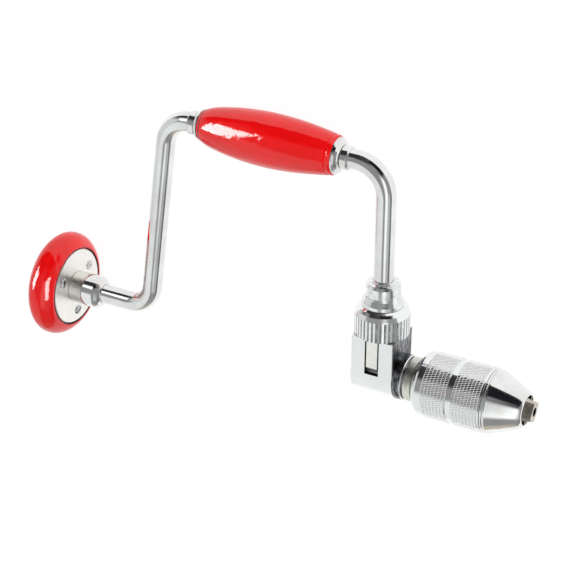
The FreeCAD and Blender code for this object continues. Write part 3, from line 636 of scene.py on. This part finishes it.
GRIP_CURVE = [
    (GRIP_LEFT_X, 8.9), (-109.0, 11.35), (-101.0, 13.1), (-92.0, 14.4), (-83.0, 15.25), (-74.0, GRIP_R),
    (-65.0, 15.5), (-56.0, 14.95), (-47.0, 13.95), (-38.0, 12.6), (-33.4, 11.65),
]


def grip_shape(along, angle):
    """The barrel is a little out of round, always inward, and round at its right end."""
    lumps = noise.noise(Vector((along * 0.035, math.cos(angle), math.sin(angle))))
    return -0.12 * (0.5 + 0.5 * lumps) * min(1.0, max(0.0, (GRIP_RIGHT_X - 4.0 - along) / 6))


def grip_outline():
    barrel = [Vector((x, min(r, GRIP_R))) for x, r in through(GRIP_CURVE, 6)]
    right, left = GRIP_RIGHT_X - SPIGOT, GRIP_LEFT_X + SPIGOT
    turned_end = rounded([
        (-33.4, 11.65), (-33.1, GROOVE_R), (-32.3, GROOVE_R), (-32.0, BEAD_R), (-31.1, BEAD_R),
        (GRIP_RIGHT_X, 10.6), (GRIP_RIGHT_X, SPIGOT_R), (right, SPIGOT_R), (right, LINER_R),
        (left, LINER_R), (left, SPIGOT_R), (GRIP_LEFT_X, SPIGOT_R), (GRIP_LEFT_X, 8.9),
    ], 0.25, closed=False)
    return barrel[:-1] + turned_end[:-1]


def grip_cap(name, node, end, inner, dome):
    """Domed cap on an end of the barrel, with a spigot that goes into it."""
    outline = [(inner, LINER_R), (inner, SPIGOT_R), (end, SPIGOT_R)] + dome + [(end, RUN_R), (end, LINER_R)]
    stand_for(turned(name, rounded(outline, 0.3), offset=SWEEP_Y), node, "sweep_grip")


def grip_stop(node, start, side):
    """Short sleeve on the rod beside the cap."""
    shoulder, end = start + side * (STOP_LENGTH - 0.8), start + side * STOP_LENGTH
    outline = rounded([
        (start, ROD_R), (start, STOP_R), (shoulder, STOP_R), (end, STOP_R - 0.7), (end, ROD_R),
    ], 0.3)
    stand_for(turned(node + "_sleeve", outline, offset=SWEEP_Y), node, "frame")


grip_barrel = turned("grip_barrel", grip_outline(), offset=SWEEP_Y, steps=FINE_STEPS, wobble=grip_shape)
stand_for(grip_barrel, "sweep_handle", "sweep_grip")
grip_cap("grip_cap_right", "handle_ferrule_right", GRIP_RIGHT_X, GRIP_RIGHT_X - SPIGOT, [
    (GRIP_RIGHT_X, 10.45), (-29.1, 10.3), (-28.0, 9.5), (-27.0, 8.3), (-26.3, 7.1), (-26.2, RUN_R),
])
grip_cap("grip_cap_left", "handle_ferrule_left", GRIP_LEFT_X, GRIP_LEFT_X + SPIGOT, [
    (GRIP_LEFT_X, 8.75), (-116.0, 8.6), (-117.0, 8.0), (-117.8, 7.1), (-118.0, RUN_R),
])
grip_stop("handle_stop_right", STOP_RIGHT_X, 1)
grip_stop("handle_stop_left", STOP_LEFT_X, -1)


# ---------------------------------------------------------------- ratchet end

arm_socket = rounded([
    (SLEEVE_Y, ROD_R), (SLEEVE_Y, SLEEVE_FOOT_R), (45.6, SLEEVE_FOOT_R), (48.6, 10.5), (50.0, SLEEVE_R),
    (55.6, SLEEVE_R), (57.2, 9.2), (57.5, 7.3), (SLEEVE_TOP_Y, 6.9), (SLEEVE_TOP_Y, ROD_R),
], 0.4)
stand_for(turned("arm_socket", arm_socket, axis="Y"), "arm_sleeve", "frame")

COIL_R, WIRE_R, COIL_TURNS = 0.95, 0.18, 4
COIL_BASE_Z, COIL_TOP_Z = 6.32, 8.86
COIL_STEPS, WIRE_SIDES = 24, 10


def pawl_coil(name, side):
    """Compression spring behind a pawl's tail, built at one length. The real spring shortens when the selector
    ring pushes the pawl in.
    """
    count = COIL_STEPS * COIL_TURNS
    rise = COIL_TOP_Z - COIL_BASE_Z - 2 * WIRE_R
    columns = []
    for i in range(WIRE_SIDES):
        angle = TURN * i / WIRE_SIDES
        away = COIL_R + WIRE_R * math.cos(angle)
        column = []
        for k in range(count + 1):
            swing = TURN * COIL_TURNS * k / count
            height = COIL_BASE_Z + WIRE_R + rise * k / count + WIRE_R * math.sin(angle)
            place = (ARM_X + away * math.cos(swing), SPRING_Y + away * math.sin(swing), side * height)
            column.append(Vector(place) * MM)
        columns.append(column)
    first = sum((column[0] for column in columns), Vector()) / WIRE_SIDES
    last = sum((column[-1] for column in columns), Vector()) / WIRE_SIDES
    return grid_piece(name, [[first] + column + [last] for column in columns], closed_along=False)


for side, node in ((1, "pawl_spring_front"), (-1, "pawl_spring_rear")):
    coil = stand_for(pawl_coil(node + "_coil", side), node, "frame")
    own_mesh(coil)


# ---------------------------------------------------------------- chuck

def knurl_faces(start, end, count, turn):
    """Slanted flat-topped points between ring grooves and helical grooves.

    Corners of each face are (along, point number, radius)."""
    pitch = (end - start) / count
    rim = RIM / pitch
    faces = []
    for column in range(count):
        for i in range(KNURL_POINTS):

            def spot(across, around, radius):
                return start + (column + across) * pitch, i + turn + LEAN * (column + across) + around, radius

            low = [spot(a, b, KNURL_LOW) for a, b in ((0, 0), (1, 0), (1, 1), (0, 1))]
            top = [spot(a, b, KNURL_HIGH)
                   for a, b in ((rim, FLANK), (1 - rim, FLANK), (1 - rim, 1 - FLANK), (rim, 1 - FLANK))]
            faces.append(top)
            faces += [[low[k], low[(k + 1) % 4], top[(k + 1) % 4], top[k]] for k in range(4)]
    return faces


def chuck_sleeve():
    """Screwed sleeve with two knurled bands, built from the same angles all the way round."""
    (first_start, first_end, _), (second_start, second_end, _) = BANDS
    rear = rounded([
        (SHELL_BACK_X, SHELL_BACK_R), (SHELL_BACK_X, 14.6), (26.0, 15.6), (27.0, 17.0), (28.1, 18.0),
        (29.3, LIP_R), (32.7, LIP_R), (first_start, KNURL_LOW),
    ], 0.25, closed=False)
    groove = rounded([
        (first_end, KNURL_LOW), (47.8, MIDDLE_GROOVE_R), (51.2, MIDDLE_GROOVE_R), (second_start, KNURL_LOW),
    ], 0.15, closed=False)
    front = rounded([
        (second_end, KNURL_LOW), (67.15, LIP_R), (SHELL_FRONT_X, 18.5), (SHELL_FRONT_X, SPIGOT_SEAT_R),
        (SNAP_X + SNAP_WIDTH, SPIGOT_SEAT_R), (SNAP_X + SNAP_WIDTH, SNAP_GROOVE_R), (SNAP_X, SNAP_GROOVE_R),
        (SNAP_X, SPIGOT_SEAT_R), (62.6, SPIGOT_SEAT_R), (62.6, SHELL_BORE_R), (44.5, SHELL_BORE_R),
        (44.5, SHELL_THREAD_R),
        (27.0, SHELL_THREAD_R), (27.0, SHELL_BACK_R), (SHELL_BACK_X, SHELL_BACK_R),
    ], 0.2, closed=False)
    work = bmesh.new()

    def corner(along, step, radius):
        angle = TURN * step / KNURL_POINTS
        return Vector((ARM_X + along, radius * math.cos(angle), radius * math.sin(angle))) * MM

    def add(corners):
        work.faces.new([work.verts.new(corner(*c)) for c in corners])

    def ring_faces(outline, turn, last):
        """Smooth part whose columns turn from the offset of one band to that of the next."""
        turns = [turn + (last - turn) * k / (len(outline) - 1) for k in range(len(outline))]
        for (a, ra), (b, rb), ta, tb in zip(outline, outline[1:], turns, turns[1:]):
            for i in range(KNURL_POINTS):
                add([(a, i + ta, ra), (a, i + 1 + ta, ra), (b, i + 1 + tb, rb), (b, i + tb, rb)])

    turn = 0.0
    ring_faces(rear, turn, turn)
    for (start, end, count), next_part in zip(BANDS, (groove, front)):
        for face in knurl_faces(start, end, count, turn):
            add(face)
        turn += LEAN * count
        ring_faces(next_part, turn, turn if next_part is groove else math.floor(turn))
    mesh = bpy.data.meshes.new("knurled_shell")
    work.to_mesh(mesh)
    work.free()
    return finish_mesh("knurled_shell", mesh, sharp=25)


stand_for(chuck_sleeve(), "chuck_sleeve", "chuck_sleeve")

ring = rounded([
    (68.5, NOSE_SPIGOT_R), (68.5, 18.2), (68.8, 18.5), (69.6, 18.5), (69.9, 18.2), (FLANGE_X, 18.2),
    (FLANGE_X, NOSE_SPIGOT_R),
], 0.12)
stand_for(turned("nose_ring", ring), "thrust_ring", "chuck_nose")

nose = rounded([
    (NOSE_BACK_X, MOUTH_R + (TIP_X - NOSE_BACK_X) * TAPER), (NOSE_BACK_X, 15.9), (63.1, NOSE_SPIGOT_R),
    (64.6, NOSE_SPIGOT_R), (64.6, 15.5), (66.0, 15.5), (66.0, NOSE_SPIGOT_R), (FLANGE_X, NOSE_SPIGOT_R),
    (FLANGE_X, 18.0), (70.3, NOSE_R), (71.3, NOSE_R), (71.8, 18.05), (79.0, 15.15), (86.0, 12.0),
    (87.8, 11.05), (88.9, 10.3), (89.5, 9.7), (TIP_X, 9.1), (TIP_X, MOUTH_R),
], 0.3)
stand_for(turned("nose_shell", nose, steps=FINE_STEPS), "nose_cone", "chuck_nose")


# ---------------------------------------------------------------- table

TABLE_HALF, TABLE_GAP = 6.0, 0.0015       # in metres


def contact(node, axis_y):
    """Middle and lowest height of a round node that rests on the table."""
    return Vector((middle(node, 0), axis_y, middle(node, 2) - reach(node, 2)))


def table():
    """The brace lies on its pad's rim, its chuck and its grip, so the table passes just under these three."""
    pad = contact("head_pad", 0.0)
    chuck = contact("chuck_sleeve", 0.0)
    grip = contact("sweep_handle", SWEEP_Y * MM)
    up = (chuck - pad).cross(grip - pad).normalized()
    if up.z < 0:
        up.negate()
    side = Vector((0, 1, 0)).cross(up).normalized()
    ahead = up.cross(side)
    centre = pad - up * TABLE_GAP
    corners = [centre + (side * a + ahead * b) * TABLE_HALF for a, b in ((-1, -1), (1, -1), (1, 1), (-1, 1))]
    mesh = bpy.data.meshes.new("table_top")
    mesh.from_pydata(corners, [], [(0, 1, 2, 3)])
    top = bpy.data.objects.new("table_top", mesh)
    bpy.context.scene.collection.objects.link(top)
    finish = Finish("table_white", Roughness=0.6, Specular_IOR_Level=0.1,
                    Emission_Color=grey(1), Emission_Strength=0.91)
    finish.set("Base Color", finish.blend(finish.texture(30, 3), grey(0.13), grey(0.15)))
    mesh.materials.append(finish.material)


table()


# ---------------------------------------------------------------- light

# Soft boxes and dark flags in the room that the chrome reflects, each by its direction:
# azimuth, elevation, half width and half height in degrees, soft edge, and colour.
ROOM = grey(0.31)
CARDS = (
    (-135, 26, 34, 42, 0.15, rgb(0.90, 0.92, 0.91)),    # white wall behind the head
    (180, 20, 26, 26, 0.15, rgb(0.74, 0.75, 0.75)),
    (120, 8, 26, 11, 0.12, grey(0.03)),                 # dark edge of the room on the left
    (98, 30, 16, 24, 0.15, rgb(0.06, 0.055, 0.05)),
    (115, 24, 11, 21, 0.12, grey(0.035)),
    (58, 23, 22, 18, 0.08, rgb(0.014, 0.014, 0.018)),   # the place where the viewer stands
    (30, 43, 14, 8, 0.12, grey(0.09)),
    (-33, 30, 12, 12, 0.20, rgb(0.58, 0.61, 0.61)),     # small soft box on the right
    (-32, 5, 22, 9, 0.12, grey(0.17)),
    (-14, 55, 27, 11, 0.18, rgb(1.30, 1.32, 1.31)),     # soft light over the chuck
    (-90, 4, 14, 12, 0.15, rgb(0.60, 0.54, 0.44)),      # warm wall behind the chuck
)


def studio():
    """World that the camera sees as plain white, and the brace as the room with its cards."""
    world = bpy.data.worlds.new("studio")
    bpy.context.scene.world = world
    world.use_nodes = True
    room = Nodes(world.node_tree)
    room.tree.nodes.clear()
    direction = room.node("TexCoord").outputs["Generated"]

    def dot(axis):
        made = room.node("VectorMath", operation="DOT_PRODUCT")
        room.feed(direction, made.inputs[0])
        made.inputs[1].default_value = axis
        return made.outputs["Value"]

    def inside(value, half, soft):
        edge = math.tan(math.radians(half))
        return room.remap(room.maths("ABSOLUTE", value), edge + soft, edge - soft)

    colour = ROOM
    for azimuth, elevation, half_width, half_height, soft, shade in CARDS:
        a, e = math.radians(azimuth), math.radians(elevation)
        ahead = Vector((math.cos(a) * math.cos(e), math.sin(a) * math.cos(e), math.sin(e)))
        side = Vector((-math.sin(a), math.cos(a), 0))
        depth = room.maths("MAXIMUM", dot(ahead), 0.001)
        across = inside(room.maths("DIVIDE", dot(side), depth), half_width, soft)
        upward = inside(room.maths("DIVIDE", dot(ahead.cross(side)), depth), half_height, soft)
        colour = room.blend(room.times(across, upward), colour, shade)
    choose = room.node("MixShader")
    room.feed(room.node("LightPath").outputs["Is Camera Ray"], choose.inputs[0])
    for shade, socket in ((colour, choose.inputs[1]), (grey(1), choose.inputs[2])):
        background = room.node("Background")
        room.feed(shade, background.inputs["Color"])
        room.feed(background.outputs[0], socket)
    room.feed(choose.outputs[0], room.node("OutputWorld").inputs["Surface"])


def lamp(name, place, aim, size, power, fading, lit=None):
    """Soft box out of the picture, aimed at a point. Its light fades in a border as wide as the given share.

    With a list of pieces it only gives these their highlights, and without one it only fills the shade."""
    data = bpy.data.lights.new(name, "AREA")
    data.shape = "RECTANGLE"
    data.size, data.size_y = size
    data.energy = power
    data.use_nodes = True
    glow = Nodes(data.node_tree)
    split = glow.node("SeparateXYZ")
    glow.feed(glow.node("NewGeometry").outputs["Parametric"], split.inputs[0])
    fades = []
    for axis in "XY":
        off = glow.maths("ABSOLUTE", glow.maths("SUBTRACT", split.outputs[axis], 0.5))
        fades.append(glow.remap(off, 0.5, 0.5 - fading))
    glow.feed(glow.times(*fades), data.node_tree.nodes["Emission"].inputs["Strength"])
    box = bpy.data.objects.new(name, data)
    box.location = Vector(place) * MM
    box.rotation_euler = (Vector(aim) * MM - box.location).to_track_quat("-Z", "Y").to_euler()
    box.visible_camera = False
    bpy.context.scene.collection.objects.link(box)
    if lit:
        box.visible_diffuse = False
        receivers = bpy.data.collections.new(name + "_receivers")
        for piece in lit:
            receivers.objects.link(piece)
        box.light_linking.receiver_collection = receivers
    else:
        box.visible_glossy = False


studio()

CENTRE = (-150, 60, 0)        # middle of the brace
HEAD = (-302, 0, 0)
LEFT_ARM = (-255, 0, 0)
lamp("left_box", (-1150, 410, 890), CENTRE, (0.95, 0.62), 30, 0.05, [head_bun, grip_barrel])
lamp("right_box", (297, -10, 450), HEAD, (0.56, 0.24), 5.5, 0.08, [head_bun])
lamp("rod_panel", (-485, 398, 386), LEFT_ARM, (0.26, 0.26), 0.32, 0.1, [crank_bar, head_ring])
lamp("fill", (300, 900, 1100), CENTRE, (1.2, 1.2), 20, 0.2)


# ---------------------------------------------------------------- camera

LENS, SENSOR = 123.6, 36
EYE = (327.25, 574.81, 877.59)
EYE_TURN = (-28.168, 28.475, 0.377)       # degrees about X, Y and Z


def camera():
    data = bpy.data.cameras.new("camera")
    data.sensor_width = SENSOR
    data.lens = LENS
    data.clip_end = 20
    eye = bpy.data.objects.new("camera", data)
    eye.location = Vector(EYE) * MM
    eye.rotation_euler = Euler([math.radians(a) for a in EYE_TURN])
    bpy.context.scene.collection.objects.link(eye)
    bpy.context.scene.camera = eye


camera()
bpy.context.scene.view_settings.view_transform = "Standard"
